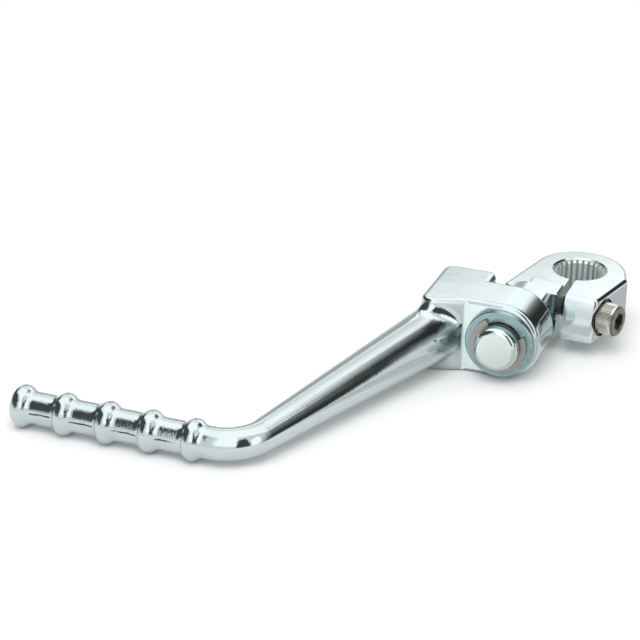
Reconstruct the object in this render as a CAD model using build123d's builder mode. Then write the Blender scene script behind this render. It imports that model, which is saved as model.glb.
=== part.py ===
import os
from math import cos, pi, radians, sin, tan

from build123d import *

os.makedirs("parts", exist_ok=True)

# Folding kick start lever, folded. The bore of the boss is on Z, the stud that the lever
# turns on points along -Y, and the origin is on the bore axis at the height of the stud.
# All lengths are millimetres and all angles are degrees.

# Boss: split ring, lugs and neck
ring_d = 30.0
boss_height = 14.6
boss_edge_r = 1.7
flank_tilt = 13.0
facet_reach = 16.0
facet_back = 1.5
lug_foot = 23.3
lug_brow = 20.7
lug_corner_r = 2.2
neck_front = 21.9
neck_corner_r = 2.0
neck_set_back = 1.0
slot_width = 2.2

# Splined bore
spline_teeth = 26
spline_minor_d = 14.9
spline_major_d = 16.5
spline_tip_share = 0.44
spline_root_share = 0.26
spline_overlap = 0.15
mouth_d = 17.5

# Pinch bolt, M6
bolt_reach = 13.4
bolt_d = 6.0
bolt_length = 25.0
bolt_head_d = 10.0
bolt_head_height = 6.0
bolt_head_chamfer = 0.45
bolt_tip_chamfer = 0.8
hex_across = 5.0
hex_depth = 3.2
bolt_clearance = 0.3
thread_clearance = 0.05
spot_face_d = 12.2
spot_face_depth = 0.5

# Stud and what it carries
stud_offset = 11.9
stud_d = 14.0
stud_end_r = 1.9
stud_overhang = 4.1
collar_d = 16.6
heel_corner_r = 2.0
shoulder_reach = 29.4
pad_front = 22.8
pad_ring_gap = 0.6
pad_corner_r = 2.0
pad_edge_share = 0.7
washer_d = 21.8
washer_thickness = 1.9
washer_edge = 0.25
washer_clearance = 0.1
ring_thickness = 1.0
ring_outer_d = 17.8
groove_d = 13.4
groove_clearance = 0.1
ring_gap_from = 27.0
ring_gap_to = 118.0

# Lever head
barrel_d = 24.4
head_length = 16.5
head_reach = 25.6
head_edge_r = 1.8
head_corner_r = 4.0
tongue_corner_r = 2.5
tongue_clearance = 0.45
stop_clearance = 0.3
end_play = 0.15
stud_clearance = 0.05
seat_reach = 12.2
seat_step = 0.6
seat_run = 8.0
cheek_reach = 5.6
cheek_run_on = 1.5

# Arm, bend and foot peg
arm_root_side = 22.9
arm_root_ahead = 4.2
arm_root_lift = 2.5
arm_run = 79.9
arm_slant = 19.6
arm_root_d = 17.4
arm_in_head = 20.0
arm_foot_spread = 1.5
bend_r = 13.0
rib_d = 12.8
rib_count = 5
rib_pitch = 13.5
rib_width = 8.0
first_rib = 14.1
neck_d = 9.8
tip_r = 3.0

# Detent: ball and spring in a cross hole of the stud, grooves in the lever's bore
ball_d = 5.0
ball_hole_clearance = 0.15
ball_travel = 0.9
ball_lift_clearance = 0.2
ball_groove_clearance = 0.3
ball_hole_depth = 11.0
spring_wire_d = 0.6
spring_d = 4.2
spring_turns = 4.0
spring_wire_sides = 8

# Places worked out from the sizes above
half_height = boss_height / 2
stud_x = -stud_offset
shoulder_y = -shoulder_reach
lever_back_y = shoulder_y - end_play
lever_front_y = lever_back_y - head_length
washer_back_y = lever_front_y - end_play
washer_front_y = washer_back_y - washer_thickness
ring_front_y = washer_front_y - ring_thickness
stud_end_y = ring_front_y - stud_overhang
detent_y = (lever_back_y + lever_front_y) / 2
stud_r = stud_d / 2
barrel_r = barrel_d / 2
collar_r = collar_d / 2
across = Vector(cos(radians(flank_tilt)), -sin(radians(flank_tilt)), 0)
forward = Vector(-sin(radians(flank_tilt)), -cos(radians(flank_tilt)), 0)
bolt_seat = facet_reach - spot_face_depth
bolt_plane = Plane(
    origin=across * bolt_seat + forward * bolt_reach, x_dir=forward, z_dir=across
)
bolt_axis = Axis(bolt_plane.origin, across)
stud_plane = Plane(origin=(stud_x, 0, 0), x_dir=(1, 0, 0), z_dir=(0, -1, 0))
from_base = (Align.CENTER, Align.CENTER, Align.MIN)
to_base = (Align.CENTER, Align.CENTER, Align.MAX)

# Boss with its ring, lugs, neck and stud
facet_back_point = across * (facet_reach - lug_corner_r) - forward * facet_back
neck_corner_y = neck_set_back - lug_brow + neck_corner_r
neck_corner_run = (neck_corner_y + (across * (ring_d / 2 - neck_corner_r)).Y) / forward.Y
neck_corner_point = across * (neck_corner_r - ring_d / 2) + forward * neck_corner_run

with BuildPart() as kick_boss:
    with BuildSketch(Plane.XY.offset(-half_height)):
        Circle(ring_d / 2)
        with Locations(facet_back_point, facet_back_point + forward * lug_foot):
            Circle(lug_corner_r)
        with Locations(neck_corner_point):
            Circle(neck_corner_r)
        make_hull()
    extrude(amount=boss_height)

    # Front of the lugs, crowned and leaning back, with its outer corner and the rims rounded
    with BuildSketch(Plane.YZ):
        with BuildLine():
            TangentArc((-lug_foot, -half_height), (-lug_brow, half_height), tangent=(0, 1))
            Polyline(
                (-lug_brow, half_height),
                (-lug_brow, boss_height),
                (-2 * lug_foot, boss_height),
                (-2 * lug_foot, -boss_height),
                (-lug_foot, -boss_height),
                (-lug_foot, -half_height),
            )
        make_face()
    extrude(amount=ring_d, both=True, mode=Mode.SUBTRACT)
    crown = kick_boss.faces().filter_by(GeomType.CYLINDER).sort_by(Axis.Y)[0]
    fillet(crown.edges().sort_by(Axis.X)[-1], radius=lug_corner_r)
    rims = kick_boss.faces().sort_by(Axis.Z)
    fillet(rims[-1].edges() + rims[0].edges(), radius=boss_edge_r)

    # Raised pad beside the stud axis that stops the tongue, level with the collar
    with BuildSketch(Plane.XY.offset(boss_edge_r - half_height)) as pad_outline:
        with BuildLine():
            Polyline(
                (stud_x, -pad_front),
                (-slot_width / 2, -pad_front),
                (-slot_width / 2, 0),
                (stud_x, 0),
                close=True,
            )
        make_face()
        Circle(ring_d / 2 + pad_ring_gap, mode=Mode.SUBTRACT)
        fillet(pad_outline.vertices().group_by(Axis.X)[0].sort_by(Axis.Y)[-1], radius=pad_corner_r)
    extrude(amount=collar_r + half_height - boss_edge_r)
    fillet(kick_boss.faces().sort_by(Axis.Z)[-1].edges(), radius=pad_edge_share * (collar_r - half_height))

    # Collar with a flat heel for the tongue, then the stud with its ring groove
    with BuildSketch(stud_plane.offset(-neck_corner_y)) as collar_outline:
        Circle(collar_r)
        with BuildLine():
            Polyline((0, 0), (collar_r, 0), (collar_r, collar_r), (0, collar_r), close=True)
        make_face()
        fillet(collar_outline.vertices().sort_by_distance((0, 0))[-1], radius=heel_corner_r)
    extrude(amount=shoulder_reach + neck_corner_y)
    with BuildPart(stud_plane.offset(shoulder_reach)) as stud:
        Cylinder(stud_r, shoulder_y - stud_end_y, align=from_base)
        fillet(stud.faces().sort_by(Axis.Y)[0].edges(), radius=stud_end_r)
    with BuildSketch(stud_plane.offset(-washer_front_y - groove_clearance)):
        Circle(stud_r)
        Circle(groove_d / 2, mode=Mode.SUBTRACT)
    extrude(amount=ring_thickness + groove_clearance, mode=Mode.SUBTRACT)

    # Cross hole for the detent ball, open at the top of the stud
    with BuildSketch(Plane((stud_x, detent_y, stud_r - ball_hole_depth))):
        Circle(ball_d / 2 + ball_hole_clearance)
    extrude(amount=ball_hole_depth, mode=Mode.SUBTRACT)

    # Bore with its splines and the bevelled mouths
    with BuildSketch(Plane.XY.offset(-half_height)):
        Circle(spline_minor_d / 2)
        pitch = 2 * pi / spline_teeth
        foot_half = pitch * (1 - spline_tip_share) / 2
        root_half = pitch * spline_root_share / 2
        foot = Vector(spline_minor_d / 2 * cos(foot_half), spline_minor_d / 2 * sin(foot_half))
        root = Vector(spline_major_d / 2 * cos(root_half), spline_major_d / 2 * sin(root_half))
        with BuildLine():
            Polyline(
                (foot.X - spline_overlap, -foot.Y),
                (root.X, -root.Y),
                (root.X, root.Y),
                (foot.X - spline_overlap, foot.Y),
                close=True,
            )
        groove = make_face(mode=Mode.PRIVATE)
        with PolarLocations(0, spline_teeth):
            add(groove)
    extrude(amount=boss_height, mode=Mode.SUBTRACT)
    mouth_depth = (mouth_d - spline_minor_d) / 2
    for side in (-1, 1):
        with BuildSketch(Plane.XY.offset(side * half_height)):
            Circle(mouth_d / 2)
        with BuildSketch(Plane.XY.offset(side * (half_height - mouth_depth))):
            Circle(spline_minor_d / 2)
        loft(mode=Mode.SUBTRACT)

    # Saw cut, bolt hole with its spot face, and the tapped hole beyond the cut
    with BuildSketch(Plane.XY.offset(-boss_height)):
        with Locations((0, -lug_foot / 2 - spline_minor_d / 4)):
            Rectangle(slot_width, lug_foot)
    extrude(amount=2 * boss_height, mode=Mode.SUBTRACT)
    with Locations(bolt_plane):
        Cylinder(spot_face_d / 2, boss_height, align=from_base, mode=Mode.SUBTRACT)
    with Locations(bolt_plane):
        Cylinder(bolt_d / 2 + thread_clearance, 2 * ring_d, align=to_base, mode=Mode.SUBTRACT)
    with Locations(bolt_plane):
        Cylinder(bolt_d / 2 + bolt_clearance, bolt_seat, align=to_base, mode=Mode.SUBTRACT)

kick_boss.part.label = "kick_boss"
export_step(kick_boss.part, "parts/kick_boss.step")

# Lever: half-round head with its tongue, round arm, bend and ribbed peg
bore_r = stud_r + stud_clearance
tongue_side_x = stud_x - collar_r - stop_clearance
tongue_back_y = -neck_front - tongue_clearance
head_left_x = stud_x - head_reach
seat_x = stud_x - seat_reach
cheek_front_y = lever_front_y - seat_step
cheek_corner_y = lever_front_y - cheek_reach
cheek_slope = (cheek_front_y - cheek_corner_y) / (seat_x - head_left_x)
stock_front_y = cheek_front_y + cheek_slope * cheek_run_on
peg_z = (rib_d - barrel_d) / 2
peg_dir = Vector(-1, 0, 0)
arm_root_z = arm_root_lift + arm_root_d / 2 - barrel_r
arm_root = Vector(stud_x - arm_root_side, lever_front_y - arm_root_ahead, arm_root_z)
bend_corner = Vector(arm_root.X - arm_run * tan(radians(arm_slant)), arm_root.Y - arm_run, peg_z)
arm_dir = (bend_corner - arm_root).normalized()
arm_length = (bend_corner - arm_root).length
turn = arm_dir.get_angle(peg_dir)
bend_run = bend_r * tan(radians(turn / 2))
bend_start = bend_corner - arm_dir * bend_run
bend_end = bend_corner + peg_dir * bend_run
neck_r = neck_d / 2
rib_r = rib_d / 2
rib_mid_r = (neck_r + rib_r) / 2
arm_foot_r = (barrel_d - arm_root_d) / 2 + arm_foot_spread
taper = (arm_root_d / 2 - neck_r) / (arm_length - bend_run)
ball_rest_z = bore_r - ball_lift_clearance - ball_d / 2
groove_reach = ball_rest_z + ball_travel

with BuildPart() as kick_lever:
    with BuildSketch(Plane.XY.offset(-barrel_r)) as head_outline:
        with BuildLine():
            Polyline(
                (stud_x + barrel_r, stock_front_y),
                (stud_x + barrel_r, lever_back_y),
                (tongue_side_x, lever_back_y),
                (tongue_side_x, tongue_back_y),
                (head_left_x, tongue_back_y),
                (head_left_x, cheek_corner_y),
                (seat_x + cheek_run_on, stock_front_y),
                close=True,
            )
        make_face()
        left_corners = head_outline.vertices().group_by(Axis.X)[0]
        fillet(left_corners, radius=head_corner_r)
        tongue_corner = head_outline.vertices().sort_by_distance((tongue_side_x, tongue_back_y))[0]
        fillet(tongue_corner, radius=tongue_corner_r)
    extrude(amount=barrel_d)
    with BuildSketch(stud_plane.offset(-tongue_back_y - barrel_d)):
        Circle(barrel_r)
        with Locations((-head_reach / 2, 0)):
            Rectangle(head_reach, barrel_d)
    extrude(amount=2 * barrel_d + head_length + tongue_clearance, mode=Mode.INTERSECT)
    head_flats = kick_lever.faces().filter_by(Axis.Z).group_by(Axis.Z)
    flat_edges = head_flats[0].edges() + head_flats[-1].edges()
    barrel_lines = flat_edges.filter_by(Axis.Y).group_by(Axis.X)[-1]
    rounded = [edge for edge in flat_edges if edge not in barrel_lines]
    rounded += kick_lever.edges().filter_by(GeomType.CIRCLE).group_by(SortBy.RADIUS)[-1]
    fillet(rounded, radius=head_edge_r)

    # Arm as a cone round its axis with a rounded foot, bend as a swept arc, peg as a turned profile
    with BuildSketch(Plane(arm_root, x_dir=arm_dir, z_dir=(arm_dir.Y, -arm_dir.X, 0))):
        with BuildLine():
            Polyline(
                (-arm_in_head, 0),
                (arm_length - bend_run, 0),
                (arm_length - bend_run, neck_r),
                (-arm_in_head, arm_root_d / 2 + taper * arm_in_head),
                close=True,
            )
        make_face()
    revolve(axis=Axis(arm_root, arm_dir))
    cone = kick_lever.faces().filter_by(GeomType.CONE).sort_by(SortBy.AREA)[-1]
    foot_edges = cone.edges().filter_by(GeomType.ELLIPSE) + cone.edges().filter_by(GeomType.BSPLINE)
    fillet(foot_edges, radius=arm_foot_r)
    with BuildLine() as bend_path:
        TangentArc(bend_start, bend_end, tangent=arm_dir)
    with BuildSketch(Plane(bend_start, z_dir=arm_dir)):
        Circle(neck_r)
    sweep(path=bend_path.line)
    with BuildSketch(Plane(bend_corner, x_dir=peg_dir, z_dir=(0, 1, 0))):
        with BuildLine():
            Line((bend_run, 0), (bend_run, neck_r))
            reached = bend_run
            for rib in range(rib_count):
                crest = first_rib + rib * rib_pitch
                foot = crest - rib_width / 2
                Line((reached, neck_r), (foot, neck_r))
                TangentArc((foot, neck_r), (crest - rib_width / 4, rib_mid_r), tangent=(1, 0))
                TangentArc((crest, rib_r), (crest - rib_width / 4, rib_mid_r), tangent=(-1, 0))
                reached = crest + rib_width / 2
                if rib < rib_count - 1:
                    TangentArc((crest, rib_r), (crest + rib_width / 4, rib_mid_r), tangent=(1, 0))
                    TangentArc((reached, neck_r), (crest + rib_width / 4, rib_mid_r), tangent=(-1, 0))
            TangentArc((crest, rib_r), (crest + tip_r, rib_r - tip_r), tangent=(1, 0))
            Line((crest + tip_r, rib_r - tip_r), (crest + tip_r, 0))
            Line((crest + tip_r, 0), (bend_run, 0))
        make_face()
    revolve(axis=Axis(bend_corner, peg_dir))

    # Flat milled on the front for the washer
    with BuildSketch(Plane.XY.offset(-barrel_d)):
        with Locations((seat_x, lever_front_y)):
            Rectangle(barrel_d + seat_reach, seat_run, align=(Align.MIN, Align.MAX))
    extrude(amount=2 * barrel_d, mode=Mode.SUBTRACT)

    # Bore for the stud with two grooves where the ball drops in, folded and out
    with Locations(stud_plane.offset(-tongue_back_y - barrel_d)):
        Cylinder(bore_r, 2 * barrel_d + head_length, align=from_base, mode=Mode.SUBTRACT)
    with BuildSketch(stud_plane.offset(-lever_back_y)):
        with Locations((0, groove_reach), (-groove_reach, 0)):
            Circle(ball_d / 2 + ball_groove_clearance)
    extrude(amount=head_length, mode=Mode.SUBTRACT)

kick_lever.part.label = "kick_lever"
export_step(kick_lever.part, "parts/kick_lever.step")

# Washer on the stud
with BuildPart() as washer:
    with BuildSketch(stud_plane.offset(-washer_back_y)):
        Circle(washer_d / 2)
        Circle(stud_r + washer_clearance, mode=Mode.SUBTRACT)
    extrude(amount=washer_thickness)
    chamfer(washer.edges().filter_by(GeomType.CIRCLE).group_by(SortBy.RADIUS)[-1], length=washer_edge)

washer.part.label = "washer"
export_step(washer.part, "parts/washer.step")

# Open ring in the stud's groove
gap_middle = (ring_gap_from + ring_gap_to) / 2
gap_half = (ring_gap_to - ring_gap_from) / 2
with BuildPart() as circlip:
    with BuildSketch(stud_plane.offset(-washer_front_y)):
        Circle(ring_outer_d / 2)
        Circle(groove_d / 2, mode=Mode.SUBTRACT)
        with BuildLine():
            far = ring_outer_d
            Polyline(
                (0, 0),
                (far * cos(radians(ring_gap_from)), far * sin(radians(ring_gap_from))),
                (far * cos(radians(gap_middle)), far * sin(radians(gap_middle))),
                (far * cos(radians(ring_gap_to)), far * sin(radians(ring_gap_to))),
                close=True,
            )
        make_face(mode=Mode.SUBTRACT)
    extrude(amount=ring_thickness)

circlip.part.label = "circlip"
export_step(circlip.part, "parts/circlip.step")

# Socket head bolt that closes the saw cut
with BuildPart() as pinch_bolt:
    with Locations(bolt_plane):
        Cylinder(bolt_head_d / 2, bolt_head_height, align=from_base)
        Cylinder(bolt_d / 2, bolt_length, align=to_base)
    bolt_ends = pinch_bolt.faces().filter_by(bolt_axis).sort_by(bolt_axis)
    chamfer(bolt_ends[-1].edges(), length=bolt_head_chamfer)
    chamfer(bolt_ends[0].edges(), length=bolt_tip_chamfer)
    with BuildSketch(bolt_plane.offset(bolt_head_height)):
        RegularPolygon(hex_across / 2, 6, major_radius=False)
    extrude(amount=-hex_depth, mode=Mode.SUBTRACT)

pinch_bolt.part.label = "pinch_bolt"
export_step(pinch_bolt.part, "parts/pinch_bolt.step")

# Detent ball, lifted clear of the lever's bore, and the coil spring under it
with BuildPart() as detent_ball:
    with Locations((stud_x, detent_y, ball_rest_z)):
        Sphere(ball_d / 2)

detent_ball.part.label = "detent_ball"
export_step(detent_ball.part, "parts/detent_ball.step")

coil_r = (spring_d - spring_wire_d) / 2
wire_r = spring_wire_d / 2
coil_low_z = stud_r - ball_hole_depth + wire_r
coil_top_z = ball_rest_z - ((ball_d / 2 + wire_r) ** 2 - coil_r**2) ** 0.5
coil_height = coil_top_z - coil_low_z
with BuildPart() as detent_spring:
    with BuildLine() as coil:
        Helix(coil_height / spring_turns, coil_height, coil_r, center=(stud_x, detent_y, coil_low_z))
    with BuildSketch(Plane(coil.line @ 0, z_dir=coil.line % 0)):
        RegularPolygon(wire_r, spring_wire_sides)
    sweep(path=coil.line, is_frenet=True)

detent_spring.part.label = "detent_spring"
export_step(detent_spring.part, "parts/detent_spring.step")
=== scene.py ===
import math

import bmesh
import bpy
from mathutils import Matrix, Vector


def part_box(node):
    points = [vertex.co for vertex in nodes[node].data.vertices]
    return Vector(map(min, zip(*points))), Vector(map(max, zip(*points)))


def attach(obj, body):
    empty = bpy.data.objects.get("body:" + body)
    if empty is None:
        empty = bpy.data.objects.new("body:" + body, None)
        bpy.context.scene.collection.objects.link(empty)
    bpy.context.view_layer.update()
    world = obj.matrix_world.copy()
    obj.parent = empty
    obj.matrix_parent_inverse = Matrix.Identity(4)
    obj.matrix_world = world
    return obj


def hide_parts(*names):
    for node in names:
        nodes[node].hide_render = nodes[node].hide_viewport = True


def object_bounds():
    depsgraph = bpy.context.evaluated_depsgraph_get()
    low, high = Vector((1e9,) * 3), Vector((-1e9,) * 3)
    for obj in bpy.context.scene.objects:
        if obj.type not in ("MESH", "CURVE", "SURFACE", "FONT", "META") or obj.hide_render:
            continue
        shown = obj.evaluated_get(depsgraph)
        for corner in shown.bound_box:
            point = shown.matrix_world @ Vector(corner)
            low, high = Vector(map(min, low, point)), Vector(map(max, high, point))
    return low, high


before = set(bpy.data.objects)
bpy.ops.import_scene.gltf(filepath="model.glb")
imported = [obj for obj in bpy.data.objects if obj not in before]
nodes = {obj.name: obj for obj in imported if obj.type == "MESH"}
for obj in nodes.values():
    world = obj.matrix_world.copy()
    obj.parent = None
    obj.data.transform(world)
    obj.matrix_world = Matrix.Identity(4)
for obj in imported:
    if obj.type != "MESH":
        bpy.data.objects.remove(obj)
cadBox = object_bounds()
print("frame loaded:", sorted(nodes))


# Small helpers for node trees. Lengths in materials are metres in the shared frame.
def addNode(tree, kind, links=None, **settings):
    node = tree.nodes.new(kind)
    for key, value in settings.items():
        if key in node.inputs:
            node.inputs[key].default_value = value
        else:
            setattr(node, key, value)
    for socket, source in (links or {}).items():
        tree.links.new(source, node.inputs[socket])
    return node


def newMetal(name, roughness):
    material = bpy.data.materials.new(name)
    material.use_nodes = True
    tree = material.node_tree
    shader = tree.nodes["Principled BSDF"]
    shader.inputs["Metallic"].default_value = 1
    shader.inputs["Roughness"].default_value = roughness
    place = addNode(tree, "ShaderNodeTexCoord").outputs["Object"]
    return material, tree, shader, place


def emptyMaterial(name):
    material = bpy.data.materials.new(name)
    material.use_nodes = True
    material.node_tree.nodes.clear()
    return material, material.node_tree


def ramp(tree, value, start, end, low=0.0, high=1.0):
    node = addNode(tree, "ShaderNodeMapRange", {"Value": value}, interpolation_type="SMOOTHSTEP")
    node.inputs["From Min"].default_value = start
    node.inputs["From Max"].default_value = end
    node.inputs["To Min"].default_value = low
    node.inputs["To Max"].default_value = high
    return node.outputs["Result"]


def maths(tree, operation, first, second=0):
    node = addNode(tree, "ShaderNodeMath", operation=operation)
    for socket, value in zip(node.inputs, (first, second)):
        if isinstance(value, (int, float)):
            socket.default_value = value
        else:
            tree.links.new(value, socket)
    return node.outputs["Value"]


def within(tree, value, middle, half):
    offset = maths(tree, "SUBTRACT", value, middle)
    return maths(tree, "LESS_THAN", maths(tree, "ABSOLUTE", offset), half)


def vectorMaths(tree, operation, vector, other=(0, 0, 0)):
    node = addNode(tree, "ShaderNodeVectorMath", {0: vector}, operation=operation)
    node.inputs[1].default_value = other
    single = operation in ("LENGTH", "DISTANCE", "DOT_PRODUCT")
    return node.outputs["Value" if single else "Vector"]


def reachFromAxis(tree, place, middle, across):
    offset = vectorMaths(tree, "SUBTRACT", place, middle)
    return vectorMaths(tree, "LENGTH", vectorMaths(tree, "MULTIPLY", offset, across))


def noise(tree, place, scale, detail=2.0):
    node = addNode(tree, "ShaderNodeTexNoise", {"Vector": place}, Scale=scale, Detail=detail)
    return node.outputs["Fac"]


# Sockets 6 and 7 of a mix node are its two colours, and output 2 is the mixed one
def mixColour(tree, factor, under, over):
    node = addNode(tree, "ShaderNodeMix", {"Factor": factor}, data_type="RGBA")
    if isinstance(under, tuple):
        node.inputs[6].default_value = (*under, 1)
    else:
        tree.links.new(under, node.inputs[6])
    node.inputs[7].default_value = (*over, 1)
    return node.outputs[2]


def mixShader(tree, factor, first, second):
    node = addNode(tree, "ShaderNodeMixShader", {"Fac": factor, 1: first, 2: second})
    return node.outputs["Shader"]


def bumpFrom(tree, shader, height):
    bump = addNode(tree, "ShaderNodeBump", {"Height": height}, Strength=1.0, Distance=1.0)
    tree.links.new(bump.outputs["Normal"], shader.inputs["Normal"])


# Helpers for pieces
def dress(name, material):
    nodes[name].data.materials.clear()
    nodes[name].data.materials.append(material)


def addPiece(name, bm, *materials):
    mesh = bpy.data.meshes.new(name)
    bm.to_mesh(mesh)
    bm.free()
    for material in materials:
        mesh.materials.append(material)
    piece = bpy.data.objects.new(name, mesh)
    bpy.context.scene.collection.objects.link(piece)
    return piece


# Place of the pinch bolt, across the saw cut: its tilt in degrees, and its seat from the bore's axis
boltPlace = {"tilt": 13.0, "seat": 0.0155, "ahead": 0.0134}
boltTilt = math.radians(boltPlace["tilt"])
boltAlong = Vector((math.cos(boltTilt), -math.sin(boltTilt), 0))
boltForward = Vector((-math.sin(boltTilt), -math.cos(boltTilt), 0))
boltSeat = boltAlong * boltPlace["seat"] + boltForward * boltPlace["ahead"]

# Chrome plate: faintly wavy and hazy, with a satin finish on one turned or milled face
chromeSettings = {
    "roughness": 0.06,
    "hazyRoughness": 0.11,
    "satinRoughness": 0.28,
    "satinDepth": 0.00004,
    # Dark colour of the die seam, also used as painted shade in the recess and the ring groove
    "bareColour": (0.05, 0.05, 0.05),
    "hazeScale": 140,
    "hazeDetail": 5.0,
    "hazeFrom": (0.42, 0.75),
    "waveScale": 95,
    "waveHeight": 0.00003,
    "grainScale": 2600,
    "grainHeight": 0.000004,
}


def chromePlate(s, marks):
    material, tree, shader, place = newMetal(s["name"], s["roughness"])
    axes = addNode(tree, "ShaderNodeSeparateXYZ", {"Vector": place}).outputs
    haze = ramp(tree, noise(tree, place, s["hazeScale"], s["hazeDetail"]), *s["hazeFrom"])
    colour = mixColour(tree, haze, s["colour"], s["hazyColour"])
    face = within(tree, axes["Y"], s["satinFace"], s["satinDepth"])
    satin, colour, dull, relief = marks(s, tree, place, axes, face, colour)
    tree.links.new(colour, shader.inputs["Base Color"])
    polish = ramp(tree, haze, 0, 1, s["roughness"], s["hazyRoughness"])
    polish = maths(tree, "MAXIMUM", polish, dull)
    polish = maths(tree, "MAXIMUM", polish, maths(tree, "MULTIPLY", satin, s["satinRoughness"]))
    tree.links.new(polish, shader.inputs["Roughness"])
    waves = maths(tree, "MULTIPLY", noise(tree, place, s["waveScale"]), s["waveHeight"])
    grain = maths(tree, "MULTIPLY", noise(tree, place, s["grainScale"]), s["grainHeight"])
    height = maths(tree, "ADD", waves, maths(tree, "MULTIPLY", grain, satin))
    bumpFrom(tree, shader, maths(tree, "ADD", height, relief))
    return material


# Boss: satin stud end, saw cut and splined bore, painted pale as if lit inside, with painted shade darkening
# its tooth roots
ringSlack = 0.0003
bossSettings = {
    **chromeSettings,
    "name": "chromeBoss",
    "colour": (0.60, 0.675, 0.68),
    "hazyColour": (0.565, 0.64, 0.645),
    "satinColour": (0.74, 0.82, 0.81),
    "satinFace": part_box("kick_boss")[0].y,
    "boreReach": 0.0083,
    "boreColour": (0.96, 1.0, 0.98),
    "boreRoughness": 0.55,
    "rootColour": (0.58, 0.68, 0.66),
    "rootReach": (0.0076, 0.0082),
    "sawnHalf": 0.00112,
    "sawnFrom": -0.007,
    "recessReach": 0.0062,
    "recessDepth": 0.00045,
    "grooveMiddle": sum(corner.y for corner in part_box("circlip")) / 2 - ringSlack,
    "grooveHalf": 0.0009,
}


def bossMarks(s, tree, place, axes, face, colour):
    reach = reachFromAxis(tree, place, (0, 0, 0), (1, 1, 0))
    bore = maths(tree, "LESS_THAN", reach, s["boreReach"])
    inCut = within(tree, axes["X"], 0, s["sawnHalf"])
    sawn = maths(tree, "MULTIPLY", inCut, maths(tree, "LESS_THAN", axes["Y"], s["sawnFrom"]))
    satin = maths(tree, "MAXIMUM", face, maths(tree, "MAXIMUM", bore, sawn))
    colour = mixColour(tree, satin, colour, s["satinColour"])
    # Painted light: the bore is painted pale as if lit inside
    colour = mixColour(tree, bore, colour, s["boreColour"])
    # Painted shade: the tooth roots are painted darker, where shade falls between the teeth
    root = maths(tree, "MULTIPLY", bore, ramp(tree, reach, *s["rootReach"]))
    colour = mixColour(tree, root, colour, s["rootColour"])

    # Painted shade: the recess under the bolt head and the groove of the ring are painted dark where their
    # shade falls
    offset = vectorMaths(tree, "SUBTRACT", place, boltSeat)
    aside = vectorMaths(tree, "LENGTH", vectorMaths(tree, "CROSS_PRODUCT", offset, boltAlong))
    near = maths(tree, "LESS_THAN", aside, s["recessReach"])
    level = within(tree, vectorMaths(tree, "DOT_PRODUCT", offset, boltAlong), 0, s["recessDepth"])
    groove = within(tree, axes["Y"], s["grooveMiddle"], s["grooveHalf"])
    recessShade = maths(tree, "MAXIMUM", groove, maths(tree, "MULTIPLY", near, level))
    colour = mixColour(tree, recessShade, colour, s["bareColour"])
    return satin, colour, maths(tree, "MULTIPLY", bore, s["boreRoughness"]), 0


# Lever: satin seat behind the washer, a duller foot of the arm, and a peg as it left the forging dies
seatGap = 0.00015
pegRadius = 0.0064
seamLevel = 0.0068
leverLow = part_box("kick_lever")[0]
leverSettings = {
    **chromeSettings,
    "name": "chromeLever",
    "colour": (0.53, 0.60, 0.605),
    "hazyColour": (0.50, 0.57, 0.575),
    "satinColour": (0.86, 0.95, 0.94),
    "satinFace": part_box("washer")[1].y + seatGap,
    "footMiddle": (-0.0262, -0.051, 0.0),
    "footReach": (0.003, 0.008),
    "footRoughness": 0.26,
    "castScale": 1500,
    "castDetail": 3.0,
    "castHeight": 0.000065,
    "castFrom": (-0.085, -0.06),
    "castShare": 0.15,
    "pegAxis": (0.0, leverLow.y + pegRadius, leverLow.z + pegRadius),
    "seamMiddle": -0.1044,
    "seamHalf": 0.0232,
    "seamHeight": leverLow.z + seamLevel,
    "seamWidth": 0.00035,
    "seamReach": 0.0051,
    "seamRise": 0.0001,
    "wanderScale": 375,
    "breakScale": 187.5,
    "breakFrom": (0.35, 0.55),
}


def leverMarks(s, tree, place, axes, face, colour):
    colour = mixColour(tree, face, colour, s["satinColour"])
    fromFoot = vectorMaths(tree, "DISTANCE", place, s["footMiddle"])
    dull = ramp(tree, fromFoot, *s["footReach"], s["footRoughness"], 0)

    # Broken seam of the dies along the grooves of the peg
    reach = reachFromAxis(tree, place, s["pegAxis"], (0, 1, 1))
    inGroove = maths(tree, "LESS_THAN", reach, s["seamReach"])
    onPeg = maths(tree, "MULTIPLY", inGroove, within(tree, axes["X"], s["seamMiddle"], s["seamHalf"]))
    wander = ramp(tree, noise(tree, place, s["wanderScale"]), 0, 1, -s["seamWidth"], s["seamWidth"])
    fromSeam = maths(tree, "SUBTRACT", axes["Z"], s["seamHeight"])
    fromSeam = maths(tree, "ABSOLUTE", maths(tree, "ADD", fromSeam, wander))
    seam = maths(tree, "MULTIPLY", ramp(tree, fromSeam, 0, s["seamWidth"], 1, 0), onPeg)
    broken = ramp(tree, noise(tree, place, s["breakScale"]), *s["breakFrom"])
    seam = maths(tree, "MULTIPLY", seam, broken)
    colour = mixColour(tree, seam, colour, s["bareColour"])

    # Grain of the forging, strong on the peg and faint on the arm
    faint = s["castHeight"] * s["castShare"]
    grainHeight = ramp(tree, axes["X"], *s["castFrom"], s["castHeight"], faint)
    cast = maths(tree, "MULTIPLY", noise(tree, place, s["castScale"], s["castDetail"]), grainHeight)
    relief = maths(tree, "ADD", cast, maths(tree, "MULTIPLY", seam, s["seamRise"]))
    return face, colour, dull, relief


dress("kick_boss", chromePlate(bossSettings, bossMarks))
dress("kick_lever", chromePlate(leverSettings, leverMarks))
print("chrome laid on the boss and the lever")

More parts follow.
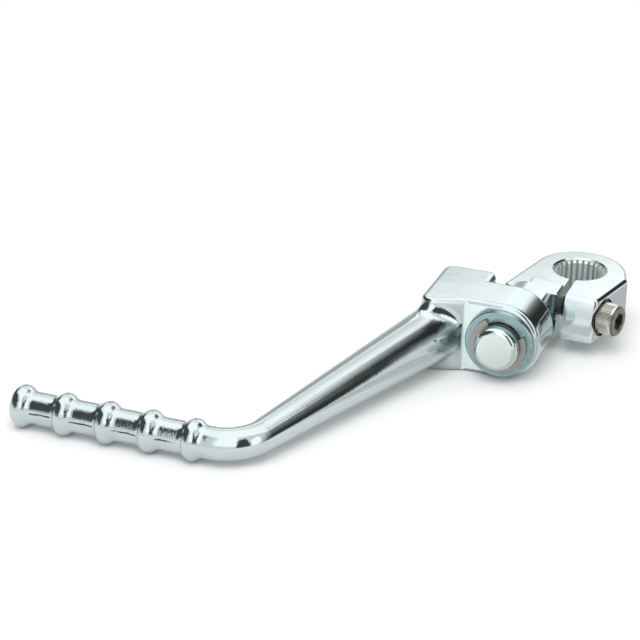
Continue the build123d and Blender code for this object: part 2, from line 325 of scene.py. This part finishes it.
# Turned washer and ring on the stud: rings of colour and roughness round the stud axis
studAxis = sum(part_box("washer"), Vector()) / 2
turnedSettings = {
    "mottleDetail": 4.0,
    "mottleFrom": (0.35, 0.7),
    "dullFrom": (0.2, 0.8),
}
washerSettings = {
    **turnedSettings,
    "name": "washerZinc",
    "colour": (0.25, 0.365, 0.385),
    "paleColour": (0.37, 0.505, 0.51),
    "roughness": (0.16, 0.28),
    "ringScale": 1500,
    "ringHeight": 0.000012,
    "mottleScale": 420,
}
circlipSettings = {
    **turnedSettings,
    "name": "circlipSteel",
    "colour": (0.31, 0.305, 0.28),
    "paleColour": (0.46, 0.455, 0.42),
    "roughness": (0.26, 0.42),
    "ringScale": 1900,
    "ringHeight": 0.00001,
    "mottleScale": 600,
}


def turnedMetal(s):
    material, tree, shader, place = newMetal(s["name"], s["roughness"][0])
    reach = reachFromAxis(tree, place, studAxis, (1, 0, 1))
    rings = addNode(tree, "ShaderNodeTexNoise", {"W": reach}, noise_dimensions="1D", Scale=s["ringScale"])
    rings = rings.outputs["Fac"]
    mottle = ramp(tree, noise(tree, place, s["mottleScale"], s["mottleDetail"]), *s["mottleFrom"])
    share = maths(tree, "MULTIPLY", maths(tree, "ADD", rings, mottle), 0.5)
    tree.links.new(mixColour(tree, share, s["colour"], s["paleColour"]), shader.inputs["Base Color"])
    tree.links.new(ramp(tree, share, *s["dullFrom"], *s["roughness"]), shader.inputs["Roughness"])
    bumpFrom(tree, shader, maths(tree, "MULTIPLY", rings, s["ringHeight"]))
    return material


dress("washer", turnedMetal(washerSettings))
dress("circlip", turnedMetal(circlipSettings))
print("washer and circlip turned")

# Plain steels: the bolt's head, end and thread, the detent ball and its spring
steelSettings = {
    "mottleDetail": 4.0,
    "mottleFrom": (0.3, 0.7),
    "dullFrom": (0.3, 0.7),
}
# The bolt's head is painted lighter as if lit, and its end and socket darker as painted shade: lit and
# shaded copies of one steel
boltLitSteelSettings = {
    **steelSettings,
    "name": "boltSteel",
    "colour": (0.58, 0.57, 0.535),
    "paleColour": (0.74, 0.725, 0.69),
    "roughness": (0.24, 0.36),
    "mottleScale": 500,
    "pitScale": 3200,
    "pitHeight": 0.000003,
}
boltEndShadeSettings = {
    **boltLitSteelSettings,
    "name": "boltEndShadedSteel",
    "colour": (0.23, 0.226, 0.21),
    "paleColour": (0.305, 0.296, 0.278),
    "roughness": (0.28, 0.4),
}
threadSteelSettings = {
    **steelSettings,
    "name": "threadSteel",
    "colour": (0.10, 0.085, 0.065),
    "paleColour": (0.24, 0.205, 0.16),
    "roughness": (0.34, 0.5),
    "mottleScale": 1400,
    "pitScale": 4200,
    "pitHeight": 0.00001,
}
ballSteelSettings = {
    **steelSettings,
    "name": "ballSteel",
    "colour": (0.50, 0.50, 0.50),
    "paleColour": (0.62, 0.62, 0.61),
    "roughness": (0.08, 0.16),
    "mottleScale": 700,
    "pitScale": 3000,
    "pitHeight": 0.000002,
}
springSteelSettings = {
    **steelSettings,
    "name": "springSteel",
    "colour": (0.30, 0.28, 0.25),
    "paleColour": (0.45, 0.42, 0.38),
    "roughness": (0.25, 0.4),
    "mottleScale": 1600,
    "pitScale": 5000,
    "pitHeight": 0.000006,
}


def plainSteel(s):
    material, tree, shader, place = newMetal(s["name"], s["roughness"][0])
    mottle = ramp(tree, noise(tree, place, s["mottleScale"], s["mottleDetail"]), *s["mottleFrom"])
    pits = noise(tree, place, s["pitScale"])
    tree.links.new(mixColour(tree, mottle, s["colour"], s["paleColour"]), shader.inputs["Base Color"])
    tree.links.new(ramp(tree, pits, *s["dullFrom"], *s["roughness"]), shader.inputs["Roughness"])
    bumpFrom(tree, shader, maths(tree, "MULTIPLY", pits, s["pitHeight"]))
    return material


dress("detent_ball", plainSteel(ballSteelSettings))
dress("detent_spring", plainSteel(springSteelSettings))
print("detent ball and spring finished")

# Socket head bolt with knurl, hex socket and thread, in place of the plain one. Profiles are pairs of a
# radius and a height along the bolt, measured outwards from its seat.
boltSettings = {
    "headProfile": (
        (0.0029, 0.0), (0.0047, 0.0), (0.00488, 0.00018), (0.00488, 0.0003), (0.005, 0.00045),
        (0.005, 0.0043), (0.00488, 0.00445), (0.00488, 0.0052), (0.0046, 0.0058), (0.0042, 0.006),
        (0.00315, 0.006), (0.0030, 0.00585),
    ),
    "columns": 144,
    "columnsPerRidge": 3,
    "knurlFrom": 0.0004,
    "knurlTo": 0.0044,
    "knurlDepth": 0.0002,
    "chamferFrom": 0.0053,
    "chamferTo": 0.0058,
    "hexAcross": 0.005,
    "hexDepth": 0.0026,
    "drillDepth": 0.0004,
    "drillShare": 0.02,
    "threadProfile": (
        (0.00248, 0.0), (0.00296, -0.00034), (0.00296, -0.0005), (0.00248, -0.00084), (0.00248, -0.001),
    ),
    "threadFrom": -0.0004,
    "turns": 23,
    "columnsPerTurn": 32,
    "coreRadius": 0.0026,
    "coreOverlap": 0.0005,
    "tipLength": 0.025,
    "tipBevel": 0.0008,
    "tipHole": 0.0001,
    "mergeReach": 1e-6,
}


def spunProfile(bm, profile, **turn):
    last = bmesh.ops.create_vert(bm, co=(profile[0][0], 0, profile[0][1]))["vert"][0]
    geometry = [last]
    for radius, height in profile[1:]:
        grown = bmesh.ops.extrude_vert_indiv(bm, verts=[last])
        last = grown["verts"][0]
        last.co = (radius, 0, height)
        geometry += grown["edges"] + grown["verts"]
    bmesh.ops.spin(bm, geom=geometry, axis=(0, 0, 1), cent=(0, 0, 0), **turn)


def knurledHead(bm, s):
    spunProfile(bm, s["headProfile"], angle=2 * math.pi, steps=s["columns"], use_merge=True)
    for vert in bm.verts:
        column = round(math.atan2(vert.co.y, vert.co.x) / (2 * math.pi) * s["columns"])
        if s["knurlFrom"] < vert.co.z < s["knurlTo"] and column % s["columnsPerRidge"] == 0:
            radius = math.hypot(vert.co.x, vert.co.y)
            vert.co.xy *= 1 - s["knurlDepth"] / radius


# Hex socket bridged to the inner edge of the head's end face, with a drilled bottom
def hexSocket(bm, s, hexRadius):
    level = s["headProfile"][-1][1]
    bottom = level - s["hexDepth"]
    rim = [edge for edge in bm.edges if edge.is_boundary and edge.verts[0].co.z > s["knurlTo"]]
    mouth = bmesh.ops.create_circle(bm, segments=6, radius=hexRadius)["verts"]
    bmesh.ops.translate(bm, vec=(0, 0, level), verts=mouth)
    sides = [edge for edge in bm.edges if edge.is_wire]
    bmesh.ops.subdivide_edges(bm, edges=sides, cuts=s["columns"] // 6 - 1)
    sides = [edge for edge in bm.edges if edge.is_wire]
    bmesh.ops.bridge_loops(bm, edges=rim + sides)
    walls = bmesh.ops.extrude_edge_only(bm, edges=sides)["geom"]
    lower = [item for item in walls if isinstance(item, bmesh.types.BMVert)]
    bmesh.ops.translate(bm, vec=(0, 0, -s["hexDepth"]), verts=lower)
    openEdges = [edge for edge in bm.edges if edge.is_boundary]
    bottomEdges = [edge for edge in openEdges if abs(edge.verts[0].co.z - bottom) < s["mergeReach"]]
    cone = bmesh.ops.extrude_edge_only(bm, edges=bottomEdges)["geom"]
    inner = [item for item in cone if isinstance(item, bmesh.types.BMVert)]
    bmesh.ops.scale(bm, vec=(s["drillShare"], s["drillShare"], 1), verts=inner)
    bmesh.ops.translate(bm, vec=(0, 0, -s["drillDepth"]), verts=inner)
    coneEdges = [item for item in cone if isinstance(item, bmesh.types.BMEdge)]
    bmesh.ops.contextual_create(bm, geom=[edge for edge in coneEdges if edge.is_boundary])


# Thread as a screw of its profile, over a core with a bevelled tip
def threadedShank(bm, s):
    thread = [(radius, height + s["threadFrom"]) for radius, height in s["threadProfile"]]
    pitch = -s["threadProfile"][-1][1]
    spunProfile(
        bm, thread, angle=2 * math.pi * s["turns"], steps=s["columnsPerTurn"] * s["turns"],
        dvec=(0, 0, -pitch / s["columnsPerTurn"]), use_merge=False,
    )
    core = (
        (s["coreRadius"], s["coreOverlap"]),
        (s["coreRadius"], -s["tipLength"] + s["tipBevel"]),
        (s["coreRadius"] - s["tipBevel"], -s["tipLength"]),
        (s["tipHole"], -s["tipLength"]),
    )
    spunProfile(bm, core, angle=2 * math.pi, steps=s["columnsPerTurn"], use_merge=True)
    shank = [vert for vert in bm.verts if vert.co.z < 0]
    bmesh.ops.remove_doubles(bm, verts=shank, dist=s["mergeReach"])


# Points, edges and faces in order of place, because a spin leaves them in an order that varies between runs
def settleOrder(items, key):
    ranks = {item: rank for rank, item in enumerate(sorted(items, key=key))}
    items.sort(key=ranks.get)
    items.index_update()


def pinchBolt(s):
    bm = bmesh.new()
    hexRadius = s["hexAcross"] / math.sqrt(3)
    knurledHead(bm, s)
    hexSocket(bm, s, hexRadius)
    headFaces = set(bm.faces)
    threadedShank(bm, s)

    # Head painted bright as if lit, dark thread and chamfer, and a duller end and socket painted darker as
    # shade
    for face in bm.faces:
        middle = face.calc_center_median()
        if face not in headFaces or s["chamferFrom"] < middle.z < s["chamferTo"]:
            face.material_index = 1
        elif middle.z > s["chamferTo"] or middle.xy.length < hexRadius:
            face.material_index = 2
    bmesh.ops.recalc_face_normals(bm, faces=bm.faces)
    turn = Matrix((boltForward, Vector((0, 0, -1)), boltAlong)).transposed()
    bmesh.ops.rotate(bm, verts=bm.verts, matrix=turn)
    bmesh.ops.translate(bm, verts=bm.verts, vec=boltSeat)
    settleOrder(bm.verts, lambda vert: tuple(vert.co))
    for items in (bm.edges, bm.faces):
        settleOrder(items, lambda item: sorted(vert.index for vert in item.verts))
    steels = [plainSteel(steel) for steel in (boltLitSteelSettings, threadSteelSettings, boltEndShadeSettings)]
    bolt = addPiece("pinchBolt", bm, *steels)
    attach(bolt, "boss")
    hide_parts("pinch_bolt")


pinchBolt(boltSettings)
print("pinch bolt made")

# Floor, level with the underside of the lever: matt near the object and plain white far from it
floorSettings = {
    "size": 12.0,
    "colour": (0.95, 0.95, 0.95, 1),
    "middle": (-0.06, -0.06, cadBox[0].z),
    "matt": 0.14,
    "white": 0.24,
}


def paperFloor(s):
    material, tree = emptyMaterial("floorPaper")
    place = addNode(tree, "ShaderNodeTexCoord").outputs["Object"]
    far = ramp(tree, vectorMaths(tree, "DISTANCE", place, s["middle"]), s["matt"], s["white"])
    paper = addNode(tree, "ShaderNodeBsdfDiffuse", Color=s["colour"]).outputs["BSDF"]
    white = addNode(tree, "ShaderNodeEmission", Strength=1.0).outputs["Emission"]
    addNode(tree, "ShaderNodeOutputMaterial", {"Surface": mixShader(tree, far, paper, white)})
    bm = bmesh.new()
    bmesh.ops.create_grid(bm, x_segments=1, y_segments=1, size=s["size"] / 2)
    bmesh.ops.translate(bm, vec=(0, 0, cadBox[0].z), verts=bm.verts)
    addPiece("floor", bm, material)


paperFloor(floorSettings)
print("floor laid at", round(cadBox[0].z, 5))

# Studio round the object: pale and dark cards that show only in reflections. A direction is a side and a
# height, in degrees from the front and above the table, as seen from the middle of the object. A card lies
# square to its facing, far metres off. Its corners run round it, and fade has the width in metres over which
# each edge blends in, from its corner to the next.
studioSettings = {
    "middle": (-0.04, -0.06, 0.0),
    "steps": 60,
    "cards": (
        {
            "name": "overheadSoftbox", "facing": (0, 90), "far": 0.78, "glow": 1.6,
            "corners": ((-2, 52), (112, 34), (172, 39), (-109, 24)), "fade": (0.1, 0.18, 0.6, 0.16),
        },
        {
            "name": "frontSoftbox", "facing": (0, 30), "far": 0.35, "glow": 1.6,
            "corners": ((-11, 2), (30, 1), (48, 82), (-59, 80)), "fade": (0.1, 0.04, 0.06, 0.05),
        },
        {
            "name": "rightSoftbox", "facing": (73, 0), "far": 0.72, "glow": 1.6,
            "corners": ((56, -11), (78, 2), (83, 46), (58, 34)), "fade": (0.04, 0.01, 0.04, 0.06),
        },
        {
            "name": "backSoftbox", "facing": (200, 20), "far": 1.0, "glow": 1.6,
            "corners": ((158, 8), (236, 12), (232, 36), (160, 38)), "fade": (0.08, 0.2, 0.12, 0.08),
        },
        {
            "name": "backHorizon", "facing": (190, 0), "far": 0.52, "glow": 0.56,
            "corners": ((150, 0), (239, -12), (248, 31), (164, 15)), "fade": (0.25, 0.38, 0.08, 0.01),
        },
        {
            "name": "leftFlag", "facing": (-50, 0), "far": 0.64, "glow": 0.09,
            "corners": ((-133, -1), (-23, -3), (-26, 59), (-134, 26)), "fade": (0.19, 0.07, 0.38, 0.02),
        },
        {
            "name": "pegFlag", "facing": (-50, 0), "far": 0.25, "glow": 0.09,
            "corners": ((-73, 4), (-25, 4), (-25, 44), (-73, 44)), "fade": (0.02, 0.01, 0.04, 0.05),
        },
        # Painted shade: the next two are grey sheets lying on the table, seen only in reflections, that
        # darken the mirrored floor as if it were shaded
        {
            "name": "tableShadeCard", "facing": (0, -90), "far": 0.012, "glow": 0.76,
            "corners": ((25, -14), (68, -1), (100, -1), (135, -45)), "fade": (0.035, 0.05, 0.003, 0.01),
        },
        {
            "name": "flankShadeCard", "facing": (0, -90), "far": 0.012, "glow": 0.66,
            "corners": ((120, -11), (100, -5), (132, -4), (152, -6)), "fade": (0.005, 0.01, 0.01, 0.01),
        },
        {
            "name": "rearFlag", "facing": (130, 10), "far": 0.35, "glow": 0.04,
            "corners": ((105, 11), (168, -8), (164, 63), (101, 53)), "fade": (0.02, 0.14, 0.18, 0.08),
        },
        {
            "name": "sideFlag", "facing": (96, 0), "far": 0.51, "glow": 0.04,
            "corners": ((66, 2), (101, -8), (120, 44), (82, 32)), "fade": (0.01, 0.02, 0.02, 0.26),
        },
        {
            "name": "rightFlag", "facing": (51, 0), "far": 1.1, "glow": 0.08,
            "corners": ((31, -1), (59, 0), (59, 54), (29, 45)), "fade": (0.03, 0.05, 0.2, 0.1),
        },
    ),
    "lamp": {"toward": (10, 60), "far": 2.0, "size": 1.4, "power": 20.0},
    "fill": 0.8,
}


def heading(side, height):
    side, height = math.radians(side), math.radians(height)
    return Vector((math.sin(side) * math.cos(height), -math.cos(side) * math.cos(height), math.sin(height)))


def cardGlow(card):
    material, tree = emptyMaterial(card["name"])
    fade = addNode(tree, "ShaderNodeAttribute", attribute_name="fade").outputs["Fac"]
    clear = addNode(tree, "ShaderNodeBsdfTransparent").outputs["BSDF"]
    glow = addNode(tree, "ShaderNodeEmission", Strength=card["glow"]).outputs["Emission"]
    addNode(tree, "ShaderNodeOutputMaterial", {"Surface": mixShader(tree, fade, clear, glow)})
    return material


def studioCard(s, card):
    normal = heading(*card["facing"])
    corners = []
    for corner in card["corners"]:
        ray = heading(*corner)
        corners.append(Vector(s["middle"]) + ray * card["far"] / ray.dot(normal))
    centre = sum(corners, Vector()) / 4
    bm = bmesh.new()
    bmesh.ops.create_grid(bm, x_segments=s["steps"], y_segments=s["steps"], size=0.5)
    layer = bm.verts.layers.float.new("fade")
    for vert in bm.verts:
        low = corners[0].lerp(corners[1], vert.co.x + 0.5)
        high = corners[3].lerp(corners[2], vert.co.x + 0.5)
        vert.co = low.lerp(high, vert.co.y + 0.5)
        vert[layer] = 1

        # Each edge fades in smoothly over its own width
        for start, end, width in zip(corners, corners[1:] + corners[:1], card["fade"]):
            inward = normal.cross(end - start).normalized()
            if (centre - start).dot(inward) < 0:
                inward.negate()
            share = max(0, min(1, (vert.co - start).dot(inward) / width))
            vert[layer] *= share * share * (3 - 2 * share)
    piece = addPiece(card["name"], bm, cardGlow(card))
    piece.visible_camera = False
    piece.visible_diffuse = False
    piece.visible_shadow = False


def overheadLamp(s, middle):
    light = bpy.data.lights.new("overheadLamp", "AREA")
    light.size = s["size"]
    light.energy = s["power"]
    lamp = bpy.data.objects.new("overheadLamp", light)
    lamp.location = Vector(middle) + heading(*s["toward"]) * s["far"]
    lamp.rotation_euler = heading(*s["toward"]).to_track_quat("Z", "Y").to_euler()
    lamp.visible_glossy = False
    bpy.context.scene.collection.objects.link(lamp)


# White where it is seen or mirrored, and a softer fill where it lights the floor
def whiteWorld(s):
    world = bpy.data.worlds.new("studioWhite")
    world.use_nodes = True
    tree = world.node_tree
    tree.nodes.clear()
    path = addNode(tree, "ShaderNodeLightPath").outputs
    seen = maths(tree, "ADD", path["Is Camera Ray"], path["Is Glossy Ray"])
    seen = maths(tree, "ADD", seen, path["Is Transmission Ray"])
    fill = addNode(tree, "ShaderNodeBackground", Color=(1, 1, 1, 1), Strength=s["fill"])
    white = addNode(tree, "ShaderNodeBackground", Color=(1, 1, 1, 1), Strength=1.0)
    both = mixShader(tree, seen, fill.outputs["Background"], white.outputs["Background"])
    addNode(tree, "ShaderNodeOutputWorld", {"Surface": both})
    bpy.context.scene.world = world


for card in studioSettings["cards"]:
    studioCard(studioSettings, card)
overheadLamp(studioSettings["lamp"], studioSettings["middle"])
whiteWorld(studioSettings)
print("studio set with", len(studioSettings["cards"]), "cards")

# Camera where the photograph was taken from
cameraSettings = {
    "place": (0.17871, -0.73478, 0.34728),
    "azimuth": 19.9,
    "elevation": 25.6,
    "roll": 1.42,
    "focalPixels": 2600,
    "framePixels": 640,
}


def photoCamera(s):
    back = heading(s["azimuth"], s["elevation"])
    right = heading(s["azimuth"] + 90, 0)
    turn = Matrix((right, back.cross(right), back)).transposed()
    turn = turn @ Matrix.Rotation(math.radians(s["roll"]), 3, "Z")
    data = bpy.data.cameras.new("photoCamera")
    data.sensor_fit = "HORIZONTAL"
    data.angle = 2 * math.atan(s["framePixels"] / 2 / s["focalPixels"])
    camera = bpy.data.objects.new("photoCamera", data)
    camera.matrix_world = Matrix.Translation(s["place"]) @ turn.to_4x4()
    bpy.context.scene.collection.objects.link(camera)
    bpy.context.scene.camera = camera


photoCamera(cameraSettings)
bpy.context.scene.view_settings.view_transform = "Standard"
print("camera set")
